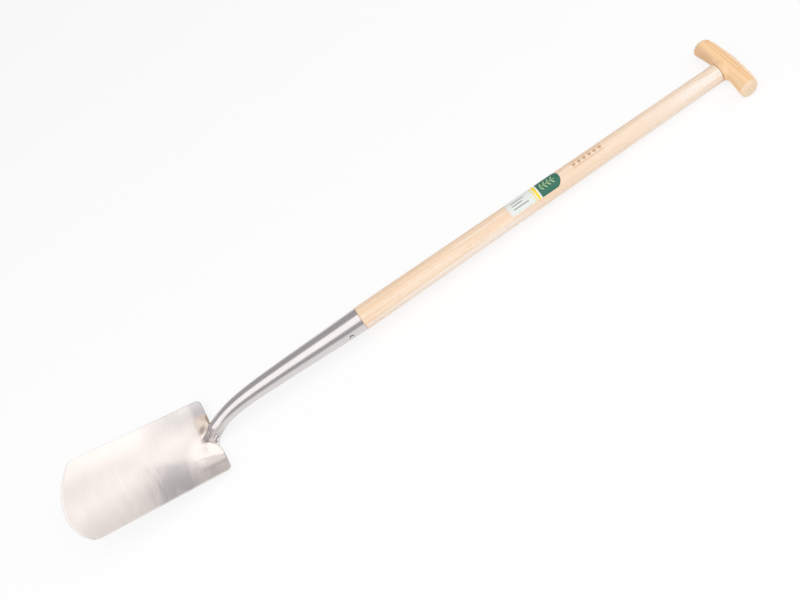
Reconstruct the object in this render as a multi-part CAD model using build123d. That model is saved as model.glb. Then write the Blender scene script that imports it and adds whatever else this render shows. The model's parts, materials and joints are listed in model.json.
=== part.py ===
from build123d import *
import os
from math import atan2, cos, degrees, radians, sin, sqrt

# All sizes are in millimetres. While the spade is drawn, x runs along the
# shaft from the socket's mouth to the grip, y across it and z out of the
# dished face. At the end the spade is laid down on its back.

# Shaft of turned ash
shaft_length = 647.0
shaft_mouth_diameter = 38.0
shaft_grip_diameter = 29.7
spigot_length = 125.0
tenon_diameter = 20.0
fit_clearance = 0.2

# Socket of stainless tube, straight at first and then bent as a swan neck
socket_straight = 165.0
socket_rise = 3.0
socket_wall = 1.8
neck_start_diameter = 29.6
neck_end_diameter = 21.0
neck_bend_reach = 93.0
neck_bend_drop = 10.8
neck_end_slope = 52.0
hollow_share = 0.6

# Rivet across the socket
rivet_position = 26.0
rivet_diameter = 5.0
rivet_head_diameter = 8.0
rivet_head_height = 1.3
rivet_head_gap = 0.15

# Blade of dished stainless plate, placed by the middle of its top edge
blade_top_reach = 116.3
blade_top_drop = 28.4
blade_tilt = 13.9
blade_top_width = 138.0
blade_tip_width = 147.0
blade_length = 248.0
tip_arch = 32.0
blade_thickness = 2.4
dish_radius = 230.0
top_corner_radius = 8.0
tip_corner_radius = 12.0
top_dip = 6.2
dip_half_width = 34.0
bevel_width = 4.0
bevel_depth = 1.5

# Nose on the blade's face
nose_centre = 8.5
nose_half_length = 10.0
nose_half_width = 9.0

# Heel from the neck's underside round the top edge to the tongue
heel_start_share = 0.6
heel_start_drop = 6.0
heel_start_width = 13.5
heel_start_thickness = 5.1
heel_edge_height = 4.1
heel_end = 16.0
heel_end_width = 25.6
heel_end_thickness = 3.0

# Tongue on the blade's back
tongue_start = 7.0
tongue_length = 62.0
tongue_width = 27.0
tongue_end_width = 17.0
tongue_thickness = 3.4

# Weld metal
weld_gap = 0.3
bead_radius = 1.7
front_bead_turn = 100.0
back_bead_start = 10.0
back_bead_turn = 50.0

# Arched grip
grip_diameter = 29.7
grip_axis_offset = 19.4
grip_width = 119.0
grip_arc_radius = 282.0
grip_end_rounding = 7.0
boss_diameter = 30.0
boss_depth = 13.0
boss_flare = 18.0
boss_sink = 1.5

# Wedge in the tenon
wedge_length = 20.0
wedge_thick_end = 3.2
wedge_thin_end = 1.2
wedge_height = 16.0

# Paper label on the shaft
label_start = 270.0
label_length = 92.0
label_width = 27.0
label_corner = 4.0
label_end_rounding = 12.0
label_thickness = 0.2
label_gap = 0.3

# Places that follow from these sizes
blade_top_x = -socket_straight - blade_top_reach
blade_corner_length = blade_length - tip_arch
tongue_rounding_length = tongue_length - tongue_end_width / 2
grip_centre_x = shaft_length + grip_axis_offset


def shaft_radius(x):
    """Radius of the straight taper from the socket's mouth to the grip."""
    share = x / shaft_length
    return (shaft_mouth_diameter + share * (shaft_grip_diameter - shaft_mouth_diameter)) / 2


def socket_radius(x):
    """Outer radius of the socket's straight cone at a distance behind the mouth."""
    share = x / socket_straight
    return (shaft_mouth_diameter + share * (neck_start_diameter - shaft_mouth_diameter)) / 2


def blade_plane():
    """Plane through the blade's four corners: x toward the tip, z out of the face."""
    tilt = radians(blade_tilt)
    toward_tip = (-cos(tilt), 0, sin(tilt))
    out_of_face = (sin(tilt), 0, cos(tilt))
    return Plane(origin=(blade_top_x, 0, -blade_top_drop), x_dir=toward_tip, z_dir=out_of_face)


def on_blade(along, across, height):
    """A point given along the blade, across it and over its corner plane."""
    return blade_plane().from_local_coords(Vector(along, across, height))


def dish_height(y, radius):
    """Height over the corner plane of a round surface about the dish's axis."""
    half_width = (blade_top_width + blade_tip_width) / 4
    axis_height = sqrt(dish_radius**2 - half_width**2)
    return axis_height - sqrt(radius**2 - y**2)


def blade_outline(grow):
    """Outline with straight shoulders, a dip at the neck and an arched tip."""
    top = blade_top_width / 2 + grow
    tip = blade_tip_width / 2 + grow
    dip = Spline(
        (-grow, -dip_half_width),
        (top_dip - grow, 0),
        (-grow, dip_half_width),
        tangents=[(0, 1), (0, 1)],
    )
    shoulder_right = Line((-grow, dip_half_width), (-grow, top))
    side_right = Line((-grow, top), (blade_corner_length, tip))
    tip_arc = ThreePointArc(
        (blade_corner_length, tip), (blade_length + grow, 0), (blade_corner_length, -tip)
    )
    side_left = Line((blade_corner_length, -tip), (-grow, -top))
    shoulder_left = Line((-grow, -top), (-grow, -dip_half_width))
    outline = make_face([dip, shoulder_right, side_right, tip_arc, side_left, shoulder_left])
    tip_corners = outline.vertices().sort_by(Axis.X)[-2:]
    outline = fillet(tip_corners, tip_corner_radius)
    top_corners = outline.vertices().filter_by(lambda v: abs(v.Y) > top - 1 and v.X < 1)
    return fillet(top_corners, top_corner_radius)


def blade_blank(grow):
    """Dished plate in the blade's own plane, grown on every side by the given amount."""
    rim = Circle(dish_radius + blade_thickness + grow) - Circle(dish_radius - grow)
    section = Plane.YZ * Pos(0, dish_height(0, 0)) * rim
    shell = extrude(section, 2 * blade_length, both=True)
    prism = extrude(blade_outline(grow), dish_radius / 2, both=True)
    return shell & prism


def make_blade():
    """The plate with its cutting edge ground from the face side."""
    blank = blade_blank(0)
    tip_edges = blank.edges().filter_by(lambda e: e.center().X > blade_length - tip_arch / 2)
    front_edge = tip_edges.sort_by(lambda e: e.center().Z)[-1]
    return blade_plane() * chamfer(front_edge, bevel_depth, bevel_width)


def neck_path():
    """Swan neck in the middle plane, from the straight socket to the blade."""
    start = (-socket_straight, 0, socket_rise)
    bend = (-socket_straight - neck_bend_reach, 0, -neck_bend_drop)
    landing = on_blade(nose_centre, 0, dish_height(0, dish_radius + blade_thickness / 2))
    slope = radians(neck_end_slope)
    return Spline(start, bend, landing, tangents=[(-1, 0, 0), (-cos(slope), 0, -sin(slope))])


def across(path, share):
    """Plane across a path at a share of its length, with its first axis along y."""
    return Plane(origin=path @ share, x_dir=(0, 1, 0), z_dir=path % share)


def socket_rings(inset, last_share, count):
    """Round sections along the swan neck, each smaller by the inset."""
    path = neck_path()
    rings = []
    for step in range(count):
        share = last_share * step / (count - 1)
        diameter = neck_start_diameter + share * (neck_end_diameter - neck_start_diameter)
        rings.append(across(path, share) * Circle(diameter / 2 - inset))
    return rings


def socket_cone(inset):
    """Straight part of the socket from its mouth to the swan neck."""
    mouth = Plane.YZ * Circle(shaft_mouth_diameter / 2 - inset)
    return loft([mouth, socket_rings(inset, 1, 2)[0]])


def tongue_half_width(along):
    """Half the tongue's width where its sides are straight."""
    share = along / tongue_rounding_length
    return (tongue_width + share * (tongue_end_width - tongue_width)) / 2


def make_tongue():
    """Round-ended tongue lying on the back of the blade."""
    inner = dish_radius + blade_thickness + weld_gap
    rim = Circle(inner + tongue_thickness) - Circle(inner)
    shell = extrude(Plane.YZ * Pos(0, dish_height(0, 0)) * rim, 2 * tongue_length, both=True)
    end = tongue_rounding_length
    start_side = tongue_half_width(tongue_start)
    end_side = tongue_half_width(end)
    sides = Polyline(
        (end, end_side), (tongue_start, start_side), (tongue_start, -start_side), (end, -end_side)
    )
    rounding = ThreePointArc((end, -end_side), (tongue_length, 0), (end, end_side))
    prism = extrude(make_face([sides, rounding]), -dish_radius / 2)
    return blade_plane() * (shell & prism)


def make_heel():
    """Flattened metal from the neck's underside to the tongue."""
    middle = dish_height(0, dish_radius + blade_thickness + weld_gap + tongue_thickness / 2)
    path = neck_path()
    start = across(path, heel_start_share).from_local_coords(Vector(0, heel_start_drop, 0))
    spine = Spline(
        start,
        on_blade(0, 0, middle + heel_edge_height),
        on_blade(heel_end, 0, middle),
        tangents=[path % heel_start_share, blade_plane().x_dir],
    )
    sections = []
    for share in (0, 0.35, 0.65, 1):
        widening = sin(radians(90 * share))
        thinning = 1 - cos(radians(90 * share))
        wide = heel_start_width + widening * (heel_end_width - heel_start_width)
        thick = heel_start_thickness + thinning * (heel_end_thickness - heel_start_thickness)
        sections.append(across(spine, share) * Ellipse(wide / 2, thick / 2))
    return loft(sections)


def rivet_shank(clearance):
    """Round bar across the socket near its mouth."""
    bar = Cylinder(rivet_diameter / 2 + clearance, shaft_mouth_diameter)
    return Pos(-rivet_position, 0, 0) * Rot(90, 0, 0) * bar


def make_socket(blade_space):
    """Tube, nose on the blade's face and tongue on its back, bored and slotted."""
    face = blade_plane()
    middle = dish_height(0, dish_radius + blade_thickness / 2)
    footprint = face * Pos(nose_centre, 0, middle) * Ellipse(nose_half_length, nose_half_width)
    neck = loft(socket_rings(0, 0.75, 7) + [footprint])
    hollow = socket_cone(socket_wall) + loft(socket_rings(socket_wall, hollow_share, 6))
    solid = socket_cone(0) + neck + make_heel() + make_tongue()
    return solid - hollow - rivet_shank(fit_clearance) - blade_space


def weld_bead(line, blade, socket):
    """Round bead along a line, without the metal of the blade and the socket."""
    start = Plane(origin=line @ 0, z_dir=line % 0)
    return sweep(start * Circle(bead_radius), path=line) - blade - socket


def make_front_weld(blade, socket):
    """Bead round the nose on the blade's face."""
    height = dish_height(0, dish_radius)
    points = []
    for share in (-1, -0.5, 0, 0.5, 1):
        turn = share * front_bead_turn
        along = nose_centre + (nose_half_length + bead_radius / 2) * cos(radians(turn))
        side = (nose_half_width + bead_radius / 2) * sin(radians(turn))
        points.append(on_blade(along, side, height))
    return weld_bead(Spline(points), blade, socket)


def make_back_weld(blade, socket):
    """Bead down one side of the tongue, round its end and up the other side."""
    edge = bead_radius / 2
    end = tongue_rounding_length
    points = []
    for share in (0, 0.33, 0.67, 1):
        along = back_bead_start + share * (end - back_bead_start)
        points.append((along, tongue_half_width(along) + edge))
    turn = radians(back_bead_turn)
    reach = tongue_end_width / 2 + edge
    points.append((end + reach * sin(turn), reach * cos(turn)))
    mirrored = [(along, -side) for along, side in reversed(points)]
    outline = points + [(end + reach, 0)] + mirrored
    back_radius = dish_radius + blade_thickness
    line = Spline([on_blade(along, side, dish_height(side, back_radius)) for along, side in outline])
    return weld_bead(line, blade, socket)


def make_rivet():
    """Round shank with a low domed head at each end."""
    rivet = rivet_shank(0)
    reach = socket_radius(rivet_position) + rivet_head_gap
    on_base = (Align.CENTER, Align.CENTER, Align.MIN)
    head = Cylinder(rivet_head_diameter / 2, rivet_head_height, align=on_base)
    head = fillet(head.edges().group_by(Axis.Z)[-1], 0.8 * rivet_head_height)
    for turn in (90, -90):
        rivet += Pos(-rivet_position, 0, 0) * Rot(turn, 0, 0) * Pos(0, 0, reach) * head
    return rivet


def grip_bar():
    """Arched round bar with flat ends."""
    arc_centre_x = grip_centre_x - grip_arc_radius
    ring = Pos(arc_centre_x, 0, 0) * Torus(grip_arc_radius, grip_diameter / 2)
    slab = Pos(grip_centre_x, 0, 0) * Box(4 * grip_diameter, grip_width, 2 * grip_diameter)
    return ring & slab


def make_grip():
    """Bar with rounded ends, a boss for the shaft and a bore for its tenon."""
    bar = grip_bar()
    ends = bar.edges().filter_by(lambda e: abs(abs(e.center().Y) - grip_width / 2) < 0.5)
    bar = fillet(ends, grip_end_rounding)
    rings = []
    for depth, widening in ((0, 0), (0.15, 0.17), (0.35, 0.67), (1, 1)):
        wide = boss_diameter + widening * boss_flare
        tall = boss_diameter - depth * boss_sink
        rings.append(Plane.YZ.offset(shaft_length + depth * boss_depth) * Ellipse(wide / 2, tall / 2))
    grip = bar + loft(rings)
    bore = Pos(grip_centre_x, 0, 0) * Rot(0, 90, 0) * Cylinder(
        tenon_diameter / 2 + fit_clearance, 3 * grip_diameter
    )
    return grip - bore


def wedge_blank(clearance):
    """Tapered wedge, thick at the outer end of the tenon."""
    outer = grip_centre_x + grip_diameter / 2
    inner = outer - wedge_length - clearance
    thin = wedge_thin_end / 2 + clearance
    thick = wedge_thick_end / 2 + clearance
    outline = Polyline((inner, -thin), (outer, -thick), (outer, thick), (inner, thin), close=True)
    height = wedge_height + 2 * clearance
    return extrude(make_face(outline), height / 2, both=True)


def make_wedge():
    """The wedge, cut off flush with the grip."""
    return wedge_blank(0) & grip_bar()


def make_tenon():
    """Round tenon through the grip, cut off flush with it."""
    on_base = (Align.CENTER, Align.CENTER, Align.MIN)
    bar = Cylinder(tenon_diameter / 2, grip_axis_offset + grip_diameter, align=on_base)
    bar = Pos(shaft_length, 0, 0) * Rot(0, 90, 0) * bar
    neck = Pos(shaft_length, 0, 0) * Rot(0, 90, 0) * Cylinder(
        tenon_diameter / 2, grip_axis_offset, align=on_base
    )
    return (bar & grip_bar()) + neck - wedge_blank(fit_clearance)


def make_shaft():
    """Tapered shaft with a spigot for the socket and a split tenon for the grip."""
    mouth = Plane.YZ * Circle(shaft_mouth_diameter / 2)
    shoulder = Plane.YZ.offset(shaft_length) * Circle(shaft_grip_diameter / 2)
    inset = socket_wall + fit_clearance
    spigot_mouth = Plane.YZ * Circle(socket_radius(0) - inset)
    rise = socket_rise * spigot_length / socket_straight
    spigot_end = Plane.YZ.offset(-spigot_length) * Pos(0, rise)
    spigot = loft([spigot_mouth, spigot_end * Circle(socket_radius(spigot_length) - inset)])
    return loft([mouth, shoulder]) + spigot + make_tenon() - rivet_shank(fit_clearance)


def make_label():
    """Sticker bent round the front of the shaft."""
    start = label_start - label_corner
    end = label_start + label_length + label_corner
    low = label_gap
    high = label_gap + label_thickness
    strip = Polyline(
        (start, 0, shaft_radius(start) + low),
        (end, 0, shaft_radius(end) + low),
        (end, 0, shaft_radius(end) + high),
        (start, 0, shaft_radius(start) + high),
        close=True,
    )
    sleeve = revolve(make_face(strip), Axis.X, 360)
    middle = label_start + label_length / 2
    outline = Pos(middle, 0, 0) * Rectangle(label_length, label_width)
    outline = fillet(outline.vertices().sort_by(Axis.X)[:2], label_corner)
    outline = fillet(outline.vertices().sort_by(Axis.X)[-2:], label_end_rounding)
    return sleeve & extrude(outline, shaft_mouth_diameter)


def lay_down(solids):
    """Turn the spade until grip and heel touch the ground, centred over the origin."""
    heel = solids["socket"].bounding_box()
    heel_x = on_blade(tongue_start, 0, 0).X
    tilt = degrees(atan2(-heel.min.Z - grip_diameter / 2, grip_centre_x - heel_x))
    turned = {name: Rot(0, tilt, 0) * solid for name, solid in solids.items()}
    boxes = [solid.bounding_box() for solid in turned.values()]
    left = min(box.min.X for box in boxes)
    right = max(box.max.X for box in boxes)
    ground = min(box.min.Z for box in boxes)
    shift = Pos(-(left + right) / 2, 0, -ground)
    print("turned down by", tilt, "degrees, socket mouth at", shift.position)
    return {name: shift * solid for name, solid in turned.items()}


blade = make_blade()
socket = make_socket(blade_plane() * blade_blank(weld_gap))
solids = {
    "blade": blade,
    "socket": socket,
    "front_weld": make_front_weld(blade, socket),
    "back_weld": make_back_weld(blade, socket),
    "socket_rivet": make_rivet(),
    "shaft": make_shaft(),
    "grip": make_grip(),
    "grip_wedge": make_wedge(),
    "label": make_label(),
}

os.makedirs("parts", exist_ok=True)
for name, solid in lay_down(solids).items():
    export_step(solid, "parts/" + name + ".step")
    box = solid.bounding_box()
    print(name, len(solid.solids()), round(solid.volume), box.min, box.max)
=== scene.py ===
import json
from math import atan2, copysign, cos, exp, pi, radians, sin, sqrt

import bmesh
import bpy
from mathutils import Matrix, Vector


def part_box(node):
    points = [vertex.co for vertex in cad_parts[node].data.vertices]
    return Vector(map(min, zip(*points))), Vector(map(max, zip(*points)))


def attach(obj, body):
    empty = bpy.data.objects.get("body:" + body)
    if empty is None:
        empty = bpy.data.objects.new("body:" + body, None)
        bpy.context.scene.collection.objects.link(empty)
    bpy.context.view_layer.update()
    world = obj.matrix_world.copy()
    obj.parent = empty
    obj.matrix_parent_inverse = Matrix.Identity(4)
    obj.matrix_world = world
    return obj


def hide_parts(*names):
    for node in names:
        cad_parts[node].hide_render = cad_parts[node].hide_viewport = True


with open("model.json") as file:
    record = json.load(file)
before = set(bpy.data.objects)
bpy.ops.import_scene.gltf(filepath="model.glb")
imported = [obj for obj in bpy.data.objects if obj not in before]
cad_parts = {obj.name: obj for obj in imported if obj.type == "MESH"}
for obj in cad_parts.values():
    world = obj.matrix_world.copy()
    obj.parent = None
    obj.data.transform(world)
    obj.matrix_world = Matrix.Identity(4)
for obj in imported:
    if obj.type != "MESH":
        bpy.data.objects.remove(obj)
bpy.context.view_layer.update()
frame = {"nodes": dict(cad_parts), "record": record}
scene = bpy.context.scene


# Lie of the spade
# The spade lies on its back, drawn in metres along its shaft: x from the socket's mouth to the grip, y across
# and z out of the blade's face. The rack clip in the record says how that line lies in the frame.

clip_from_mouth = 0.560
clip = next(mount for mount in frame["record"]["mounts"] if mount["name"] == "shaft_clip")
shaft_line = Vector(clip["axis"]).normalized()
across_line = Vector((0, 1, 0))
lie = Matrix((shaft_line, across_line, shaft_line.cross(across_line))).transposed().to_4x4()
lie.translation = Vector(clip["pos_m"]) - clip_from_mouth * shaft_line


# Blade
# A plate of stainless steel, pressed hollow across its width, with rounded corners and an arched tip that is
# ground to a bright bevel. The press left a swell and a crease by the socket, a belt polished the plate from
# side to side, and the weld's heat left straw, brown and soot on it, with the soot by the nose partly painted
# shade. Grey patches in its colour are painted reflection and shade.

blade_top = Vector((-0.2813, 0, -0.0284))
blade_tilt = radians(13.9)
top_half_width = 0.0690
tip_half_width = 0.0735
side_length = 0.216
blade_length = 0.248
plate = 0.0024
dish_radius = 0.230
top_corner = 0.008
tip_corner = 0.012
top_dip = 0.0062
dip_half_width = 0.034
bevel_width = 0.004
bevel_depth = 0.0015
bright_bevel_share = 0.6
edge_round = 0.0009
swell_height = 0.0058
swell_along = 0.012
swell_half_length = 0.0215
swell_near_half_width = 0.0195
swell_far_half_width = 0.030

down_blade = Vector((-cos(blade_tilt), 0, sin(blade_tilt)))
off_face = Vector((sin(blade_tilt), 0, cos(blade_tilt)))
blade_lie = lie @ Matrix.Translation(blade_top)
blade_lie = blade_lie @ Matrix((down_blade, -across_line, off_face)).transposed().to_4x4()
dish_rise = sqrt(dish_radius**2 - ((top_half_width + tip_half_width) / 2) ** 2)
tip_arch = blade_length - side_length
tip_radius = (tip_half_width**2 + tip_arch**2) / (2 * tip_arch)
tip_centre = blade_length - tip_radius
tip_corner_across = tip_half_width - tip_corner
tip_corner_along = tip_centre + sqrt((tip_radius - tip_corner) ** 2 - tip_corner_across**2)
tip_corner_meets = tip_corner_across * tip_radius / (tip_radius - tip_corner)


def blend(low, high, share):
    """Goes evenly from low to high as the share goes from 0 to 1."""
    return low + (high - low) * share


def ease(share):
    """Goes from 0 to 1 with a level start and end."""
    share = min(max(share, 0), 1)
    return share * share * (3 - 2 * share)


def dish_height(across, depth=0.0):
    """Height of the face, or of a layer at a depth behind it, over the line from edge to edge."""
    return dish_rise - sqrt((dish_radius + depth) ** 2 - across**2)


def sheet_height(along, across, depth=0.0):
    """Height of the face, or of a layer behind it, with the swell that the press left by the nose."""
    half_width = swell_near_half_width if across > 0 else swell_far_half_width
    from_nose = ((along - swell_along) / swell_half_length) ** 2 + (across / half_width) ** 2
    return dish_height(across, depth) + swell_height * exp(-from_nose / 2)


def top_edge(across, inset):
    """How far down the blade its top edge lies: straight shoulders, round corners and a dip at the socket."""
    past_corner = abs(across) - (top_half_width - top_corner)
    if past_corner > 0:
        return top_corner - sqrt(max((top_corner - inset) ** 2 - past_corner**2, 0))
    return inset + top_dip * ease(1 - abs(across) / dip_half_width)


def tip_edge(across, inset):
    """How far down the blade its arched tip lies, with a rounding where the arch meets the sides."""
    if abs(across) > tip_corner_meets:
        past_corner = abs(across) - tip_corner_across
        return tip_corner_along + sqrt(max((tip_corner - inset) ** 2 - past_corner**2, 0))
    return tip_centre + sqrt((tip_radius - inset) ** 2 - across**2)


def band(upper, lower):
    """Faces between two closed rows of as many points, given by the points' numbers."""
    return list(zip(upper, upper[1:] + upper[:1], lower[1:] + lower[:1], lower))


def sheet_faces(rows, columns):
    """Faces of a sheet's front and back, whose points come row by row, and the numbers along its rim."""
    wide = columns + 1
    back = (rows + 1) * wide
    faces = []
    for row in range(rows):
        for column in range(columns):
            corner = row * wide + column
            quad = (corner, corner + 1, corner + wide + 1, corner + wide)
            faces += [quad, tuple(back + index for index in reversed(quad))]
    rim = list(range(columns))
    rim += [row * wide + columns for row in range(rows)]
    rim += [rows * wide + column for column in range(columns, 0, -1)]
    rim += [row * wide for row in range(rows, 0, -1)]
    return faces, rim


def blade_skin(grow=0.0, columns=80, rows=70, bevel_rows=4, round_steps=6):
    """Points and faces of the plate, or of the room that it takes when it is grown all round."""
    inset = edge_round - grow
    spots = []
    for row in range(rows + bevel_rows + 1):
        for column in range(columns + 1):
            side = sin(pi / 2 * (2 * column / columns - 1))
            start = top_edge(side * (top_half_width - inset), inset)
            end = tip_edge(side * (tip_half_width - inset), inset)
            bevel_start = end - bevel_width + edge_round
            along = blend(start, bevel_start, row / rows)
            if row > rows:
                along = blend(bevel_start, end, (row - rows) / bevel_rows)
            half_width = blend(top_half_width, tip_half_width, along / side_length)
            spots.append((along, side * (half_width - inset)))

    def face_height(along, across):
        from_tip = tip_edge(min(abs(across), tip_half_width), 0) - along
        ground_off = bevel_depth * max(1 - max(from_tip, 0) / bevel_width, 0)
        return sheet_height(along, across, -grow) - ground_off

    points = [(along, across, face_height(along, across)) for along, across in spots]
    points += [(along, across, sheet_height(along, across, plate + grow)) for along, across in spots]
    faces, rim = sheet_faces(rows + bevel_rows, columns)
    rows_round = [rim]
    for step in range(1, 2 * round_steps + 2):
        turn = pi / 2 * min(step, 2 * round_steps + 1 - step) / round_steps
        down = edge_round * (1 - cos(turn))
        rows_round.append(list(range(len(points), len(points) + len(rim))))
        for place, index in enumerate(rim):
            before = Vector(spots[rim[place - 1]])
            after = Vector(spots[rim[(place + 1) % len(rim)]])
            outward = Vector((before.y - after.y, after.x - before.x)).normalized()
            spot = Vector(spots[index]) + outward * edge_round * sin(turn)
            front = points[index][2] - down
            rear = points[len(spots) + index][2] + down
            points.append((spot.x, spot.y, front if step <= round_steps else rear))
    rows_round.append([len(spots) + index for index in rim])
    for upper, lower in zip(rows_round, rows_round[1:]):
        faces += band(upper, lower)
    return points, faces


def add_object(name, data):
    """Puts a mesh, a lamp or a camera into the scene."""
    added = bpy.data.objects.new(name, data)
    scene.collection.objects.link(added)
    return added


def smooth(mesh, sharp=30):
    """Shades a mesh smooth, with creases past an angle in degrees."""
    mesh.shade_smooth()
    mesh.set_sharp_from_angle(angle=radians(sharp))


def add_piece(name, skin, place, sharp=30):
    """A smooth closed piece with its place in its points and creases past an angle in degrees."""
    points, faces = skin
    mesh = bpy.data.meshes.new(name)
    mesh.from_pydata(points, [], faces)
    shape = bmesh.new()
    shape.from_mesh(mesh)
    bmesh.ops.remove_doubles(shape, verts=shape.verts, dist=1e-7)
    bmesh.ops.recalc_face_normals(shape, faces=shape.faces)
    shape.to_mesh(mesh)
    shape.free()
    mesh.transform(place)
    smooth(mesh, sharp)
    return add_object(name, mesh)


def clad(piece, material):
    """Gives a piece one material."""
    piece.data.materials.clear()
    piece.data.materials.append(material)


class Wire:
    """A node's output. Sums, products and the like of it add further nodes to its tree."""

    def __init__(self, socket):
        self.socket = socket
        self.tree = socket.id_data

    def __add__(self, other):
        return calc("ADD", self, other)

    def __sub__(self, other):
        return calc("SUBTRACT", self, other)

    def __mul__(self, other):
        return calc("MULTIPLY", self, other)

    def __truediv__(self, other):
        return calc("DIVIDE", self, other)

    def __pow__(self, other):
        return calc("POWER", self, other)

    def __abs__(self):
        return calc("ABSOLUTE", self)


def add_node(tree, kind, inputs=None, **settings):
    """Adds a node, and sets each of its inputs to a value or links it to another node's output."""
    made = tree.nodes.new(kind)
    for setting, value in settings.items():
        setattr(made, setting, value)
    for socket, value in (inputs or {}).items():
        if isinstance(value, Wire):
            tree.links.new(value.socket, made.inputs[socket])
        else:
            made.inputs[socket].default_value = value
    return made


def outputs(node):
    """A node's outputs by name."""
    return {socket.name: Wire(socket) for socket in node.outputs}


def result(tree, kind, inputs=None, **settings):
    """Adds a node and gives the first output that it has in use."""
    made = add_node(tree, kind, inputs, **settings)
    return Wire(next(socket for socket in made.outputs if socket.enabled))


def calc(operation, *values):
    """The result of a Math node, or of a Vector Math node where the first value is a vector."""
    kind = "ShaderNodeVectorMath" if values[0].socket.type == "VECTOR" else "ShaderNodeMath"
    return result(values[0].tree, kind, dict(enumerate(values)), operation=operation)


def climb(value, low, high):
    """Goes smoothly from 0 to 1 as the value goes from low to high."""
    sockets = {"Value": value, "From Min": low, "From Max": high}
    return result(value.tree, "ShaderNodeMapRange", sockets, interpolation_type="SMOOTHSTEP")


def spread(value, low, high):
    """Lays a mask from 0 to 1 out between two values."""
    return result(value.tree, "ShaderNodeMapRange", {"Value": value, "To Min": low, "To Max": high})


def tint(share, colour, other):
    """A colour that turns into another as the share goes to 1."""
    ends = [(*end, 1) if isinstance(end, tuple) else end for end in (colour, other)]
    return result(share.tree, "ShaderNodeMix", {0: share, 6: ends[0], 7: ends[1]}, data_type="RGBA")


def cloud(place, patch, detail=2.0):
    """Noise in patches of the given size in millimetres, along each axis."""
    return result(place.tree, "ShaderNodeTexNoise", {"Vector": place / patch, "Scale": 1, "Detail": detail})


def axes_of(place):
    """The three values of a vector."""
    return [Wire(axis) for axis in add_node(place.tree, "ShaderNodeSeparateXYZ", {0: place}).outputs]


def vector(tree, x, y, z):
    """A vector of three values."""
    return result(tree, "ShaderNodeCombineXYZ", {"X": x, "Y": y, "Z": z})


def new_group(name, inputs, results, tree_kind="ShaderNodeTree", result_kind="Float"):
    """A node group with named inputs and results, and what comes into it by name."""
    tree = bpy.data.node_groups.new(name, tree_kind)
    for socket, kind in inputs.items():
        tree.interface.new_socket(name=socket, in_out="INPUT", socket_type="NodeSocket" + kind)
    for socket in results:
        tree.interface.new_socket(name=socket, in_out="OUTPUT", socket_type="NodeSocket" + result_kind)
    return tree, outputs(add_node(tree, "NodeGroupInput"))


def use_group(group, **values):
    """What a group gives for the values of its inputs, whose names have low lines here for spaces."""
    sockets = {name.replace("_", " "): value for name, value in values.items()}
    return outputs(add_node(values["Place"].tree, "ShaderNodeGroup", sockets, node_tree=group))


def new_material(name, **values):
    """A material with one principled shader, whose plain values are set on its own sockets."""
    material = bpy.data.materials.new(name)
    material.use_nodes = True
    shader = material.node_tree.nodes["Principled BSDF"]
    for socket, value in values.items():
        shader.inputs[socket.replace("_", " ")].default_value = value
    return material


def millimetres(material, place):
    """A material's object coordinates in millimetres, along the axes of the given place."""
    tree = material.node_tree
    sockets = {
        "Vector": outputs(add_node(tree, "ShaderNodeTexCoord"))["Object"],
        "Location": place.to_translation(),
        "Rotation": place.to_euler(),
        "Scale": (0.001, 0.001, 0.001),
    }
    return result(tree, "ShaderNodeMapping", sockets, vector_type="TEXTURE")


def dress(material, colour, rough, height, strength, depth, invert=False):
    """Links a material's colour and roughness and a fine relief, whose depth is in metres, to its shader."""
    tree = material.node_tree
    relief = {"Height": height, "Strength": strength, "Distance": depth}
    bump = result(tree, "ShaderNodeBump", relief, invert=invert)
    shader = tree.nodes["Principled BSDF"]
    for socket, value in (("Base Color", colour), ("Roughness", rough), ("Normal", bump)):
        tree.links.new(value.socket, shader.inputs[socket])
    return material


def make_belt_marks():
    """Polishing marks along y: fine scratches, bands that the belt left side by side, and dull patches."""
    sizes = {"Place": "Vector", "Scratch Width": "Float", "Scratch Length": "Float", "Band Width": "Float"}
    tree, given = new_group("belt_marks", sizes, ("Scratches", "Bands", "Patches"))
    scratch, band_width = given["Scratch Width"], given["Band Width"]
    scratch_size = vector(tree, scratch, given["Scratch Length"], scratch)
    band_size = vector(tree, band_width, band_width * 14.0, band_width)
    marks = {
        "Scratches": cloud(given["Place"], scratch_size, 3),
        "Bands": cloud(given["Place"], band_size),
        "Patches": cloud(given["Place"], (28, 36, 28)),
    }
    add_node(tree, "NodeGroupOutput", marks)
    return tree


def make_weld_heat():
    """Heat tint round a place's middle: straw at its reach along each axis, brown nearer and soot inside."""
    tree, given = new_group("weld_heat", {"Place": "Vector", "Reach": "Vector"}, ("Straw", "Brown", "Soot"))
    ragged = spread(cloud(given["Place"], (9, 9, 9), 3), -0.35, 0.35)
    share = calc("LENGTH", given["Place"] / given["Reach"]) + ragged
    heat = {
        "Straw": climb(share, 1.05, 0.60),
        "Brown": climb(share, 0.90, 0.50),
        "Soot": climb(share, 0.70, 0.30),
    }
    add_node(tree, "NodeGroupOutput", heat)
    return tree


belt_marks = make_belt_marks()
weld_heat = make_weld_heat()


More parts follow.
